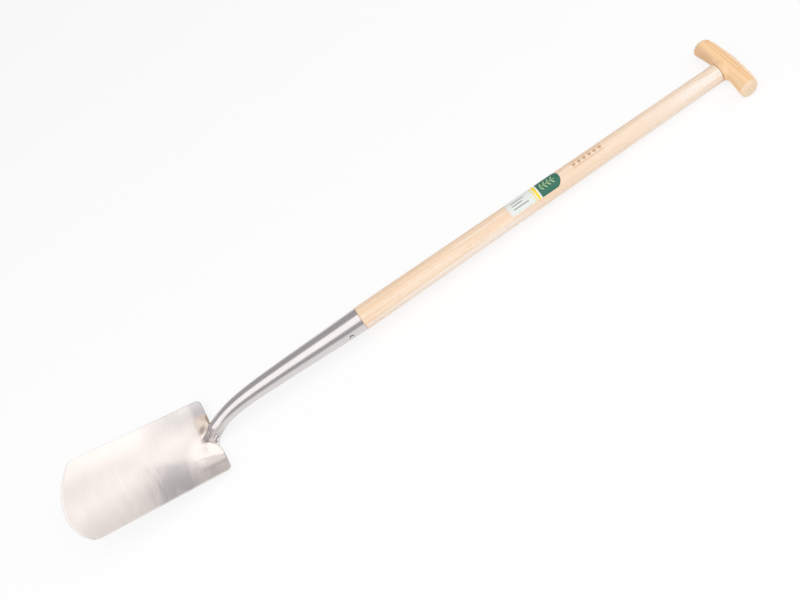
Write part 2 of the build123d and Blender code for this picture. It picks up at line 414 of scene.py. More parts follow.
def make_plate_steel():
    """Stainless plate with a belt finish across the blade. Its colour holds painted dark reflection down the
    far side and at the far shoulder, painted shade past the swell and a painted grey reflection in bands on
    the near side.
    It is tinted and sooted by the weld, with the soot by the nose partly painted shade, and bright where the
    tip is ground."""
    material = new_material("polished_plate", Metallic=1.0)
    place = millimetres(material, blade_lie)
    x, y, _ = axes_of(place)
    marks = use_group(belt_marks, Place=place, Scratch_Width=0.35, Scratch_Length=55.0, Band_Width=13.0)
    colour = tint(marks["Patches"], (0.71, 0.665, 0.635), (0.79, 0.745, 0.715))
    # Painted dark reflection down the far side of the plate, laid into its colour.
    far_painted_reflection = climb(x, 125.0, 45.0) * climb(y, -20.0, -60.0)
    colour = tint(far_painted_reflection * 0.95, colour, (0.44, 0.425, 0.42))
    # Painted dark reflection at the far shoulder.
    shoulder_painted_reflection = climb(x, 24.0, 14.0) * climb(y, -34.0, -46.0)
    colour = tint(shoulder_painted_reflection * 0.95, colour, (0.36, 0.345, 0.355))
    # Painted grey reflection further down the near side, broken up along the belt's bands.
    near_painted_reflection = climb(x, 45.0, 62.0) * climb(x, 130.0, 102.0) * climb(x * 0.4 + y, 30.0, 48.0)
    near_painted_reflection = near_painted_reflection * spread(climb(marks["Bands"], 0.42, 0.58), 0.25, 0.8)
    colour = tint(near_painted_reflection, colour, (0.55, 0.525, 0.54))
    past_swell = x * 0.3 + y + spread(cloud(place, (12, 12, 12)), -3.0, 3.0)
    # Painted shade on the near side past the swell.
    painted_shade_past_swell = climb(past_swell, 33.0, 40.0) * climb(x, 50.0, 18.0) * spread(climb(y, 54.0, 48.0), 0.4, 1.0)
    colour = tint(painted_shade_past_swell, colour, (0.54, 0.50, 0.475))
    heat_spots = (
        ((0.0110, -0.0300, 0), 0, (16, 18, 40), 0.60, 0.0, 0.0),
        ((0.0070, -0.0380, 0), 20, (7, 10, 40), 0.20, 0.30, 0.0),
        ((0.0010, -0.0310, 0), 0, (5, 15, 40), 0.50, 1.0, 0.3),
        ((0.0150, -0.0180, 0), 50, (14, 8, 40), 0.30, 0.40, 0.60),
        ((0.0185, 0.0015, 0), 0, (12, 10, 40), 0.0, 0.25, 0.50),
    )
    # At the spots beside and below the nose the soot is partly weld soot and partly painted shade in the
    # crevice by the weld.
    for spot, turn, reach, straw, brown, soot_and_painted_shade in heat_spots:
        spot_lie = blade_lie @ Matrix.Translation(spot) @ Matrix.Rotation(radians(turn), 4, "Z")
        heat = use_group(weld_heat, Place=millimetres(material, spot_lie), Reach=reach)
        colour = tint(heat["Straw"] * straw, colour, (0.53, 0.45, 0.38))
        colour = tint(heat["Brown"] * brown, colour, (0.33, 0.25, 0.20))
        colour = tint(heat["Soot"] * soot_and_painted_shade, colour, (0.22, 0.20, 0.18))
    centre = 1000 * tip_centre
    ground_from = 1000 * (tip_radius - bright_bevel_share * bevel_width)
    from_arch = calc("LENGTH", (place - (centre, 0, 0)) * (1, 1, 0))
    ground = climb(from_arch, ground_from - 0.4, ground_from + 0.4) * climb(x, centre, centre + 10)
    colour = tint(ground, colour, (0.80, 0.785, 0.77))
    from_swell = calc("LENGTH", place - (14, 18, 0))
    rough = spread(marks["Scratches"], 0.22, 0.36) + spread(marks["Bands"], -0.04, 0.04)
    rough = rough - climb(from_swell, 46.0, 26.0) * 0.13
    crease = climb(abs(past_swell - 40.0), 4.8, 0.2) * climb(x, 44.0, 26.0)
    height = marks["Scratches"] * 0.06 + marks["Bands"] + crease * 0.4
    return dress(material, colour, rough, height, 1.0, 0.0004)


blade = add_piece("dished_blade", blade_skin(), blade_lie, sharp=18)
clad(blade, make_plate_steel())
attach(blade, "root")
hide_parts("blade")


# Socket
# A tapered stainless tube that takes the shaft, drawn out to a swan neck. Its end is pressed over the blade's
# top edge, with a nose on the face and a heel behind that runs out into a tongue down the back.

mouth_radius = 0.019
socket_length = 0.165
socket_rise = 0.003
socket_wall = 0.0018
rim_round = 0.0005
hollow_length = 0.128
neck_start_radius = 0.0148
neck_end_radius = 0.0105
neck_bend = Vector((-0.258, 0, -0.0108))
neck_bend_slope = radians(26)
neck_end_slope = radians(52)
nose_along = 0.0085
nose_half_length = 0.010
nose_half_width = 0.0062
nose_starts = 0.75
heel_starts = 0.6
heel_start_drop = 0.006
heel_start_half = (0.0098, 0.0030)
heel_corner = 0.002
heel_lift = 0.0041
heel_end = 0.016
heel_end_half = (0.0128, 0.0015)
wall_half = 0.0100
ear_reach = 0.007
ear_along = 0.001
ear_height = 0.0018
ear_depth = 0.007
tongue_length = 0.062
tongue_half_width = 0.0135
tongue_end_half_width = 0.0085
tongue_half_thickness = 0.0017
tongue_last_half_width = 0.0003
weld_gap = 0.0003
ring_points = 96
rim_steps = 4
straight_steps = 30
line_steps = 40
wall_steps = 24
thinning_steps = 10


def on_blade(along, across, height):
    """A point of the blade's own axes as a point along the shaft."""
    return blade_top + down_blade * along - across_line * across + off_face * height


def bend(start, end, leave, arrive, share):
    """A point on the cubic curve between two points that leaves and arrives along two directions."""
    reach = (end - start).length
    return (
        start * (2 * share**3 - 3 * share**2 + 1)
        + end * (3 * share**2 - 2 * share**3)
        + leave * reach * (share**3 - 2 * share**2 + share)
        + arrive * reach * (share**3 - share**2)
    )


def bent_line(spots, directions):
    """Points along the bends from each spot to the next, with the direction at each spot."""
    line = []
    for n in range(len(spots) - 1):
        ends = (spots[n], spots[n + 1], directions[n], directions[n + 1])
        line += [bend(*ends, step / line_steps) for step in range(line_steps)]
    return line + [spots[-1]]


def slope(angle):
    """The direction toward the blade that falls by an angle."""
    return Vector((-cos(angle), 0, -sin(angle)))


def square_to(angle):
    """The direction out of a line that falls toward the blade by an angle."""
    return Vector((-sin(angle), 0, cos(angle)))


def lean_at(line, index):
    """The angle by which a line falls toward the blade at one of its points."""
    step = line[min(index + 1, len(line) - 1)] - line[max(index - 1, 0)]
    return atan2(-step.z, -step.x)


neck_start = Vector((-socket_length, 0, socket_rise))
nose_landing = on_blade(nose_along, 0, sheet_height(nose_along, 0, plate / 2))
neck_slopes = [slope(angle) for angle in (0, neck_bend_slope, neck_end_slope)]
neck_line = bent_line((neck_start, neck_bend, nose_landing), neck_slopes)
neck_lengths = [0.0]
for before, after in zip(neck_line, neck_line[1:]):
    neck_lengths.append(neck_lengths[-1] + (after - before).length)
neck_shares = [length / neck_lengths[-1] for length in neck_lengths]
heel_index = next(index for index, share in enumerate(neck_shares) if share >= heel_starts)
heel_lean = lean_at(neck_line, heel_index)
behind = plate + weld_gap + tongue_half_thickness
heel_start = neck_line[heel_index] - square_to(heel_lean) * heel_start_drop
heel_turn = on_blade(heel_corner, 0, sheet_height(heel_corner, 0, behind) + heel_lift)
heel_stop = on_blade(heel_end, 0, sheet_height(heel_end, 0, behind))
through = (heel_stop - heel_start).normalized()
heel_line = bent_line((heel_start, heel_turn, heel_stop), (slope(heel_lean), through, down_blade))


def circle(count=ring_points):
    """The turns of as many points round a circle."""
    return [2 * pi * n / count for n in range(count)]


def ring(centre, lean, half_across, half_out):
    """An oval ring square to a line that falls toward the blade by the given angle."""
    out = square_to(lean)
    return [centre + across_line * half_across * cos(turn) + out * half_out * sin(turn) for turn in circle()]


def round_ring(along, up, radius):
    """A round ring square to the shaft."""
    return ring(Vector((along, 0, up)), 0, radius, radius)


def ring_skin(rings):
    """Points and faces of a closed skin over rings that all have as many points."""
    count = len(rings[0])
    points = [tuple(point) for one in rings for point in one]
    rows = [list(range(start, start + count)) for start in range(0, len(points), count)]
    faces = [tuple(rows[0]), tuple(rows[-1])]
    for upper, lower in zip(rows, rows[1:]):
        faces += band(upper, lower)
    return points, faces


def socket_radius(from_mouth):
    """The tube's outer radius at a distance from its mouth, before the neck starts."""
    return blend(mouth_radius, neck_start_radius, from_mouth / socket_length)


def neck_ring(index, grow=0.0):
    """Ring at one of the points of the neck's line, round at first and then narrowed to the nose's foot."""
    share = neck_shares[index]
    radius = blend(neck_start_radius, neck_end_radius, share)
    into_nose = (share - nose_starts) / (1 - nose_starts)
    lean = blend(lean_at(neck_line, index), pi / 2 - blade_tilt, ease(into_nose))
    half_width = blend(radius, nose_half_width, max(into_nose, 0))
    half_length = blend(radius, nose_half_length, max(into_nose, 0))
    return ring(neck_line[index], lean, half_width + grow, half_length + grow)


def tube_rings():
    """Rings from the bottom of the hollow to the mouth's rim, back over the tube and down the neck."""
    rings = []
    for from_mouth in (hollow_length, hollow_length / 2, rim_round, 0):
        flare = rim_round / 2 if from_mouth == 0 else 0
        radius = socket_radius(from_mouth) - socket_wall + flare
        rings.append(round_ring(-from_mouth, socket_rise * from_mouth / socket_length, radius))
    for step in range(rim_steps + 1):
        turn = pi / 2 * step / rim_steps
        rings.append(round_ring(-rim_round * (1 - cos(turn)), 0, mouth_radius - rim_round * (1 - sin(turn))))
    for step in range(1, straight_steps):
        share = step / straight_steps
        from_mouth = socket_length * share
        rings.append(round_ring(-from_mouth, socket_rise * ease(share), socket_radius(from_mouth)))
    return rings + [neck_ring(index) for index in range(len(neck_line))]


def flat_ring(centre, lean, half_across, half_out, squareness, hollow):
    """A ring between an oval and a flat bar, bent to the blade's dish by the hollow's share."""
    out = square_to(lean)
    points = []
    for turn in circle():
        over = half_across * copysign(abs(cos(turn)) ** (2 / squareness), cos(turn))
        lift = half_out * copysign(abs(sin(turn)) ** (2 / squareness), sin(turn))
        lift += hollow * (dish_height(over) - dish_height(0))
        points.append(centre + across_line * over + out * lift)
    return points


def wall_rings():
    """Rings of the tube's pressed side, which closes the gap between the nose and the heel."""
    rings = []
    for n in range(wall_steps + 1):
        upper = neck_line[heel_index + round((len(neck_line) - 1 - heel_index) * n / wall_steps)]
        lower = heel_line[round(line_steps * n / wall_steps)]
        half = (upper - lower) / 2
        wide = across_line * wall_half
        rings.append([(upper + lower) / 2 + wide * cos(turn) + half * sin(turn) for turn in circle()])
    return rings


def heel_rings():
    """Rings from under the neck round the blade's top edge, where the heel has a thin ear on each side, and
    down the tongue to its round end."""
    rings = []
    for index, centre in enumerate(heel_line):
        share = index / (len(heel_line) - 1)
        half_across = blend(heel_start_half[0], heel_end_half[0], share**2)
        half_out = blend(heel_end_half[1], heel_start_half[1], cos(pi / 2 * share))
        past_ear = (centre - blade_top).dot(down_blade) - ear_along
        fade = past_ear / ear_height if past_ear < 0 else -((past_ear / ear_depth) ** 2)
        half_across += ear_reach * exp(fade)
        lean = lean_at(heel_line, index)
        rings.append(flat_ring(centre, lean, half_across, half_out, 2 + share, ease(share)))
    round_start = tongue_length - tongue_end_half_width
    for n in range(1, line_steps + 1):
        along = blend(heel_end, tongue_length, sin(pi / 2 * n / line_steps))
        half_across = blend(tongue_half_width, tongue_end_half_width, along / round_start)
        if along > round_start:
            half_square = tongue_end_half_width**2 - (along - round_start) ** 2
            half_across = sqrt(max(half_square, tongue_last_half_width**2))
        thinned = ease(n / thinning_steps)
        half_out = blend(heel_end_half[1], tongue_half_thickness, thinned)
        centre = on_blade(along, 0, sheet_height(along, 0, behind))
        rings.append(flat_ring(centre, -blade_tilt, half_across, half_out, 3 + thinned, 1))
    return rings


def settle(piece, change):
    """Makes what a modifier gives the piece's own mesh, and takes the modifier away."""
    settled = bpy.data.meshes.new_from_object(piece.evaluated_get(bpy.context.evaluated_depsgraph_get()))
    piece.modifiers.remove(change)
    piece.data = settled


def carve(piece, cutter, operation):
    """Joins a piece with another or cuts it by it, and takes the other away."""
    change = piece.modifiers.new("carve", "BOOLEAN")
    change.operation = operation
    change.solver = "EXACT"
    change.object = cutter
    settle(piece, change)
    smooth(piece.data)
    bpy.data.objects.remove(cutter)


def make_tube_steel():
    """Satin stainless tube with marks round it, and dull heat tint toward the weld."""
    material = new_material("satin_tube", Metallic=1.0)
    place = millimetres(material, lie)
    marks = use_group(belt_marks, Place=place, Scratch_Width=0.30, Scratch_Length=40.0, Band_Width=9.0)
    heat_lie = lie @ Matrix.Translation(nose_landing + across_line * 0.012)
    heat = use_group(weld_heat, Place=millimetres(material, heat_lie), Reach=(26, 18, 26))
    colour = tint(marks["Patches"], (0.66, 0.63, 0.63), (0.74, 0.71, 0.705))
    colour = tint(heat["Straw"] * 0.25, colour, (0.62, 0.50, 0.40))
    colour = tint(heat["Brown"] * 0.15, colour, (0.40, 0.32, 0.30))
    colour = tint(heat["Soot"] * 0.15, colour, (0.34, 0.33, 0.34))
    rough = spread(marks["Scratches"], 0.18, 0.30) + spread(heat["Straw"], 0.0, 0.12)
    return dress(material, colour, rough, marks["Scratches"] * 0.10 + marks["Bands"], 1.0, 0.00012)


socket = add_piece("neck_socket", ring_skin(tube_rings()), lie)
carve(socket, add_piece("heel_and_tongue", ring_skin(heel_rings()), lie), "UNION")
carve(socket, add_piece("pressed_wall", ring_skin(wall_rings()), lie), "UNION")
blade_room = blade_skin(grow=weld_gap, columns=60, rows=40)
carve(socket, add_piece("blade_room", blade_room, blade_lie), "DIFFERENCE")
clad(socket, make_tube_steel())
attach(socket, "root")
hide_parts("socket")


# Welds
# Beads of dull grey weld metal, laid in drops that overlap like coins. One goes round the nose's far side on
# the blade's face, with passes over the nose itself, and is ground away on the near side. The other follows
# the tongue's edge on the back.

front_bead_radius = 0.0017
front_bead_half = (0.0108, 0.0072)
front_bead_turns = (radians(-100), radians(40))
front_passes = 13
front_pass_step = 2
front_pass_turns = (20, 135)
front_pass_lift = -0.0004
back_bead_radius = 0.0016
back_bead_stand_off = 0.0009
back_bead_start = 0.010
bead_rise_share = 0.2
drop_step = 0.0013
weld_grain = 0.00022


def make_bead_tree():
    """Drops of uneven size, set along a line and melted into one bead."""
    sizes = {
        "Line": "Geometry", "Drop Step": "Float", "Drop Radius": "Float",
        "Grain": "Float", "Metal": "Material",
    }
    tree, given = new_group("weld_bead", sizes, ("Bead",), "GeometryNodeTree", "Geometry")
    curve = result(tree, "GeometryNodeMeshToCurve", {0: given["Line"]})
    steps = {"Curve": curve, "Length": given["Drop Step"]}
    spots = outputs(add_node(tree, "GeometryNodeCurveToPoints", steps, mode="LENGTH"))
    ball = {"Radius": given["Drop Radius"], "Subdivisions": 3}
    limits = {0: (0.80, 0.86, 0.55), 1: (1.08, 1.12, 0.75), "Seed": 11}
    drops = {
        "Points": spots["Points"],
        "Instance": result(tree, "GeometryNodeMeshIcoSphere", ball),
        "Rotation": spots["Rotation"],
        "Scale": result(tree, "FunctionNodeRandomValue", limits, data_type="FLOAT_VECTOR"),
    }
    bead = result(tree, "GeometryNodeInstanceOnPoints", drops)
    bead = result(tree, "GeometryNodeRealizeInstances", {0: bead})
    melt = {"Mesh": bead, "Voxel Size": given["Grain"], "Interior Band Width": 0.0006}
    bead = result(tree, "GeometryNodeMeshToVolume", melt, resolution_mode="VOXEL_SIZE")
    skin = {"Volume": bead, "Voxel Size": given["Grain"]}
    bead = result(tree, "GeometryNodeVolumeToMesh", skin, resolution_mode="VOXEL_SIZE")
    bead = result(tree, "GeometryNodeSetShadeSmooth", {0: bead})
    bead = result(tree, "GeometryNodeSetMaterial", {"Geometry": bead, "Material": given["Metal"]})
    add_node(tree, "NodeGroupOutput", {0: bead})
    return tree


def grow_piece(piece, tree, values):
    """Runs a Geometry Nodes tree on a piece with the given values, and leaves it a plain mesh."""
    growth = piece.modifiers.new(tree.name, "NODES")
    growth.node_group = tree
    for socket in tree.interface.items_tree:
        if socket.name in values:
            growth[socket.identifier] = values[socket.name]
    settle(piece, growth)


def add_lines(name, lines, place):
    """A piece that holds only lines of points, each joined in a row."""
    points = []
    edges = []
    for line in lines:
        edges += [(n, n + 1) for n in range(len(points), len(points) + len(line) - 1)]
        points += line
    mesh = bpy.data.meshes.new(name)
    mesh.from_pydata(points, edges, [])
    mesh.transform(place)
    return add_object(name, mesh)


def make_weld_metal():
    """Dull grey weld metal with brown heat colour in patches."""
    material = new_material("weld_metal", Metallic=1.0)
    place = millimetres(material, blade_lie)
    patches = cloud(place, (3.5, 3.5, 3.5), 3)
    grey = tint(climb(patches, 0.35, 0.65), (0.38, 0.355, 0.36), (0.66, 0.63, 0.635))
    warm = climb(cloud(place, (6, 6, 6)), 0.52, 0.66)
    colour = tint(warm * 0.5, grey, (0.40, 0.29, 0.22))
    return dress(material, colour, spread(patches, 0.36, 0.62), cloud(place, (0.4, 0.4, 0.4), 3), 0.6, 0.0001)


def front_bead_lines():
    """A bead round the nose's foot on the blade's face, and passes laid over the nose above it."""
    foot = []
    for n in range(line_steps + 1):
        turn = blend(*front_bead_turns, n / line_steps)
        along = nose_along + front_bead_half[0] * cos(turn)
        across = front_bead_half[1] * sin(turn)
        height = sheet_height(along, across) + bead_rise_share * front_bead_radius
        foot.append(on_blade(along, across, height))
    first, last = (round(ring_points * turn / 360) for turn in front_pass_turns)
    end = len(neck_line) - 1
    passes = range(end, end - front_pass_step * front_passes, -front_pass_step)
    return [foot] + [neck_ring(index, front_pass_lift)[first:last] for index in passes]


def back_bead_lines():
    """Down one side of the tongue, round its end and up the other side, on the blade's back."""
    round_start = tongue_length - tongue_end_half_width
    reach = tongue_end_half_width + back_bead_stand_off
    side_steps = 20
    side = []
    for n in range(side_steps + 1):
        along = blend(back_bead_start, round_start, n / side_steps)
        half_width = blend(tongue_half_width, tongue_end_half_width, along / round_start)
        side.append((along, half_width + back_bead_stand_off))
    turns = [pi / 2 - pi * n / side_steps for n in range(1, side_steps)]
    spots = side + [(round_start + reach * cos(turn), reach * sin(turn)) for turn in turns]
    spots += [(along, -across) for along, across in reversed(side)]
    sink = bead_rise_share * back_bead_radius
    return [[on_blade(along, across, sheet_height(along, across, plate) - sink) for along, across in spots]]


bead_tree = make_bead_tree()
weld_metal = make_weld_metal()
beads = (
    ("nose_bead", "front_weld", front_bead_lines(), front_bead_radius),
    ("tongue_bead", "back_weld", back_bead_lines(), back_bead_radius),
)
for bead_name, node, lines, radius in beads:
    bead = add_lines(bead_name, lines, lie)
    sizes = {"Drop Step": drop_step, "Drop Radius": radius, "Grain": weld_grain, "Metal": weld_metal}
    grow_piece(bead, bead_tree, sizes)
    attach(bead, "root")
    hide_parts(node)


# Shaft
# A turned and sanded ash shaft, thickest at the socket, with a spigot driven into the tube and a tenon up
# into the grip. The wood is pale and straight-grained, and a small row of lozenges is burnt into its front.

shaft_length = 0.647
shaft_end_radius = 0.01485
spigot_length = 0.125
spigot_gap = 0.0002
tenon_radius = 0.010
arris = 0.0006
taper_steps = 60
arch_radius = 0.282
bar_from_shoulder = 0.0194
arch_centre = shaft_length + bar_from_shoulder - arch_radius
bar_radius = 0.01485
wedge_half_height = 0.008
wedge_start = 0.66125
wedge_half_thin = 0.0006
wedge_half_thick = 0.0016
wedge_length = 0.020
wedge_room_past_end = 0.003


def shaft_radius(along):
    """The shaft's radius at a distance from the socket's mouth."""
    return blend(mouth_radius, shaft_end_radius, along / shaft_length)


def outer_grip(across, up):
    """How far along the shaft the grip's outer side lies."""
    reach = arch_radius + sqrt(bar_radius**2 - up**2)
    return arch_centre + sqrt(reach**2 - across**2)


def shaft_rings():
    """Rings from the spigot's end to the mouth, along the taper to the grip and up the tenon."""
    rings = []
    for from_mouth in (spigot_length, spigot_length - 2 * arris, 0):
        chamfer = 2 * arris if from_mouth == spigot_length else 0
        radius = socket_radius(from_mouth) - socket_wall - spigot_gap - chamfer
        rings.append(round_ring(-from_mouth, socket_rise * from_mouth / socket_length, radius))
    for along, cut in ((0, arris), (arris / 2, arris / 4), (arris, 0)):
        rings.append(round_ring(along, 0, shaft_radius(along) - cut))
    for n in range(1, taper_steps + 1):
        along = arris + (shaft_length - 2 * arris) * n / taper_steps
        rings.append(round_ring(along, 0, shaft_radius(along)))
    for radius in (shaft_end_radius - arris, tenon_radius):
        rings.append(round_ring(shaft_length, 0, radius))
    for share in (1, 0.75, 0.5, 0.25, 0.02):
        flat = round_ring(0, 0, tenon_radius * share)
        rings.append([Vector((outer_grip(point.y, point.z), point.y, point.z)) for point in flat])
    return rings


def wedge_room():
    """The saw cut that the wedge opens in the tenon, out past the grip."""
    length = wedge_length + wedge_room_past_end
    thick = blend(0, wedge_half_thick, length / wedge_length)
    rings = []
    for along, half in ((wedge_start, wedge_half_thin), (wedge_start + length, thick)):
        corners = ((-1, -1), (1, -1), (1, 1), (-1, 1))
        rings.append([(along, across * half, up * wedge_half_height) for across, up in corners])
    return ring_skin(rings)


def make_ash_grain():
    """Ash with its grain along x: year rings round a pith line, open pores in dashes, and pale streaks."""
    sizes = {"Place": "Vector", "Pith": "Vector", "Ring Width": "Float", "Wander": "Float"}
    tree, given = new_group("ash_grain", sizes, ("Rings", "Pores", "Streaks"))
    place = given["Place"]
    from_pith = calc("LENGTH", (place - given["Pith"]) * (0, 1, 1))
    drift = cloud(place, (170, 22, 22)) - 0.5
    year = calc("FRACT", (drift * given["Wander"] + from_pith) / given["Ring Width"])
    dashes = climb(cloud(place, (7, 0.28, 0.28)), 0.56, 0.68)
    grain = {
        "Rings": climb(year, 0.25, 0.92) * climb(year, 1.0, 0.94),
        "Pores": dashes * climb(year, 0.9, 0.2),
        "Streaks": climb(cloud(place, (260, 6, 6)), 0.35, 0.68),
    }
    add_node(tree, "NodeGroupOutput", grain)
    return tree


ash_grain = make_ash_grain()


def burnt_row(place):
    """Mask of a plain row of lozenges between two thin rules, on the shaft's front."""
    start, lozenges, pitch, half_height, rule = 385.0, 6, 9.2, 3.3, 5.0
    length, soft = lozenges * pitch, 0.4
    x, y, z = axes_of(place)
    along = x - start
    front = climb(along, 0, soft) * climb(along, length, length - soft) * calc("GREATER_THAN", z, 0.0)
    cell = calc("FRACT", along / pitch) - 0.5
    lozenge = climb(abs(cell) * 2.4 + abs(y) / half_height, 1.05, 0.9)
    ruled = climb(abs(abs(y) - rule), 0.55, 0.3)
    return calc("MAXIMUM", lozenge, ruled) * front


def make_shaft_ash():
    """Pale sanded ash, oiled to a low sheen, with pale streaks. A paler tone toward the grip and the near
    side, a pale band and pale lines along it and a pale near edge are painted light, and dark lines where it
    meets the socket and the grip are painted shade."""
    material = new_material("pale_ash", Specular_IOR_Level=0.3, Coat_Weight=0.2, Coat_Roughness=0.3)
    place = millimetres(material, lie)
    x, y, _ = axes_of(place)
    grain = use_group(ash_grain, Place=place, Pith=(0, 52, -70), Ring_Width=4.2, Wander=9.0)
    warm = tint(grain["Streaks"], (0.91, 0.68, 0.475), (0.94, 0.77, 0.60))
    painted_light_tone = tint(grain["Streaks"], (0.95, 0.79, 0.64), (0.97, 0.86, 0.75))
    # Paler toward the grip and on the near side: painted light.
    colour = tint(climb(x, 40, 760) * spread(climb(y, 2, -7), 0.5, 1.0), warm, painted_light_tone)
    # Painted highlight: a pale band along the shaft toward the grip and pale lines along it nearer the
    # socket, and painted rim light along the near edge on the socket's half.
    painted_highlight = climb(abs(y + 8.0), 8, 2) * climb(x, 430, 600)
    for across, start, end in ((-10.8, -30, 210), (-1.5, 150, 300)):
        highlight_streak = climb(abs(y - across), 1.8, 0.6) * climb(x, start, start + 30) * climb(x, end, end - 50)
        painted_highlight = calc("MAXIMUM", painted_highlight, highlight_streak * 0.5)
    painted_rim_light = climb(x * -0.0143 + y, -18.0, -19.6) * climb(x, 340, 240)
    painted_highlight = calc("MAXIMUM", painted_highlight, painted_rim_light)
    colour = tint(painted_highlight * 0.8, colour, (0.98, 0.915, 0.84))
    colour = tint(grain["Rings"] * 0.38, colour, (0.80, 0.545, 0.33))
    colour = tint(grain["Pores"] * 0.40, colour, (0.55, 0.35, 0.20))
    # Painted shade in the joints with the socket and the grip.
    joint_painted_shade = climb(x, 1.2, 0.4) + climb(x, 645.8, 646.6)
    colour = tint(joint_painted_shade * 0.6, colour, (0.42, 0.21, 0.10))
    burnt = burnt_row(place) * 0.7
    colour = tint(burnt, colour, (0.52, 0.24, 0.08))
    rough = spread(grain["Rings"], 0.54, 0.46)
    return dress(material, colour, rough, grain["Pores"] + burnt, 0.5, 0.00015, invert=True)


shaft = add_piece("ash_shaft", ring_skin(shaft_rings()), lie)
carve(shaft, add_piece("wedge_room", wedge_room(), lie), "DIFFERENCE")
clad(shaft, make_shaft_ash())
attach(shaft, "root")
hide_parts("shaft")


# Rivet
# A steel pin across the socket and the spigot, which keeps the shaft in the tube. A rivet set closed it to a
# low dome on each side, and the rim of the head is darkened with painted shade.

rivet_radius = 0.0025
rivet_head_radius = 0.004
rivet_head_height = 0.0013
rivet_head_seat = 0.0005
rivet_head_arris = 0.0001
rivet_from_mouth = 0.026
rivet_sides = 48
dome_steps = 8

rivet_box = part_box("socket_rivet")
rivet_middle = (rivet_box[0] + rivet_box[1]) / 2
rivet_half_length = (rivet_box[1].y - rivet_box[0].y) / 2


def rivet_rings():
    """Rings along the pin, with a domed head at each end that sits on the round of the tube."""
    seat = sqrt(socket_radius(rivet_from_mouth) ** 2 - rivet_head_radius**2) - rivet_head_seat / 2
    edge = rivet_half_length - rivet_head_height
    half = [
        (seat, rivet_radius),
        (seat, rivet_head_radius - rivet_head_arris),
        (seat + rivet_head_arris, rivet_head_radius),
    ]
    for n in range(dome_steps + 1):
        turn = pi / 2 * n / dome_steps
        half.append((edge + rivet_head_height * sin(turn), rivet_head_radius * max(cos(turn), 0.01)))
    rings = []
    for across, radius in [(-across, radius) for across, radius in reversed(half)] + half:
        spots = [Vector((radius * cos(turn), across, radius * sin(turn))) for turn in circle(rivet_sides)]
        rings.append([rivet_middle + spot for spot in spots])
    return rings


def make_rivet_steel():
    """Steel that a rivet set pressed smooth, with fine marks and painted shade at the rim of the head."""
    material = new_material("rivet_steel", Metallic=1.0)
    place = millimetres(material, Matrix.Translation(rivet_middle))
    marks = use_group(belt_marks, Place=place, Scratch_Width=0.2, Scratch_Length=6.0, Band_Width=1.5)
    bare = tint(marks["Bands"], (0.66, 0.63, 0.62), (0.78, 0.75, 0.74))
    from_middle = calc("LENGTH", place * (1, 0, 1))
    # Painted shade darkens the rim of the head.
    colour = tint(climb(from_middle, 2.7, 3.6), bare, (0.20, 0.19, 0.19))
    return dress(material, colour, spread(marks["Scratches"], 0.2, 0.42), marks["Bands"], 0.4, 0.00005)


rivet = add_piece("domed_rivet", ring_skin(rivet_rings()), Matrix())
clad(rivet, make_rivet_steel())
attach(rivet, "root")
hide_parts("socket_rivet")


# Grip
# An arched ash bar, round all along and rounded at both ends, with a short boss that flares out of it toward
# the shaft. It is bored through for the tenon, and its grain runs from end to end of the bar.

grip_half_width = 0.0595
grip_end_rounding = 0.007
grip_rings = 120
boss_radius = 0.0150
boss_half_spread = 0.026
boss_half_height = 0.985 * bar_radius
boss_sink = 0.00012
flare_steps = 20
flare_pull = 0.9
flare_step_back = 0.001
bore_radius = 0.0102
bore_before_shoulder = 0.005
bore_past_shoulder = 0.05


def make_arched_bar():
    """A round bar along y with rounded ends, arched round a centre on the x axis."""
    sizes = {
        "Bar": "Geometry", "Half Width": "Float", "Bar Radius": "Float", "End Rounding": "Float",
        "Arch Radius": "Float", "Rings": "Int", "Sides": "Int", "Wood": "Material",
    }
    tree, given = new_group("arched_bar", sizes, ("Bar",), "GeometryNodeTree", "Geometry")
    half_width, rounding = given["Half Width"], given["End Rounding"]
    line = result(tree, "GeometryNodeCurvePrimitiveLine", {"Start": (0, -1, 0), "End": (0, 1, 0)})
    line = result(tree, "GeometryNodeResampleCurve", {"Curve": line, "Count": given["Rings"]}, mode="COUNT")
    turn = (result(tree, "GeometryNodeSplineParameter") - 0.5) * pi
    spot = vector(tree, 0, calc("SINE", turn) * half_width, 0)
    line = result(tree, "GeometryNodeSetPosition", {"Geometry": line, "Position": spot})
    x, y, z = axes_of(result(tree, "GeometryNodeInputPosition"))
    short = calc("MAXIMUM", rounding - (half_width - abs(y)), 0.0)
    swell = calc("SQRT", calc("MAXIMUM", rounding**2.0 - short**2.0, 0.0))
    radius = given["Bar Radius"] - rounding + swell
    round_bar = {"Resolution": given["Sides"], "Radius": 1.0}
    profile = result(tree, "GeometryNodeCurvePrimitiveCircle", round_bar)
    sweep = {"Curve": line, "Profile Curve": profile, "Scale": radius, "Fill Caps": True}
    bar = result(tree, "GeometryNodeCurveToMesh", sweep)
    arched = calc("SQRT", (x + given["Arch Radius"]) ** 2.0 - y**2.0)
    bar = result(tree, "GeometryNodeSetPosition", {"Geometry": bar, "Position": vector(tree, arched, y, z)})
    bar = result(tree, "GeometryNodeRealizeInstances", {0: bar})
    bar = result(tree, "GeometryNodeSetMaterial", {"Geometry": bar, "Material": given["Wood"]})
    add_node(tree, "NodeGroupOutput", {0: bar})
    return tree


def in_grip(over, reach):
    """A point at a reach from the shaft's line, a little inside the grip's inner side."""
    point = over * reach
    inner = arch_radius - sqrt(max(bar_radius**2 - point.z**2, 0))
    point.x = arch_centre + sqrt(inner**2 - point.y**2) + boss_sink
    return point


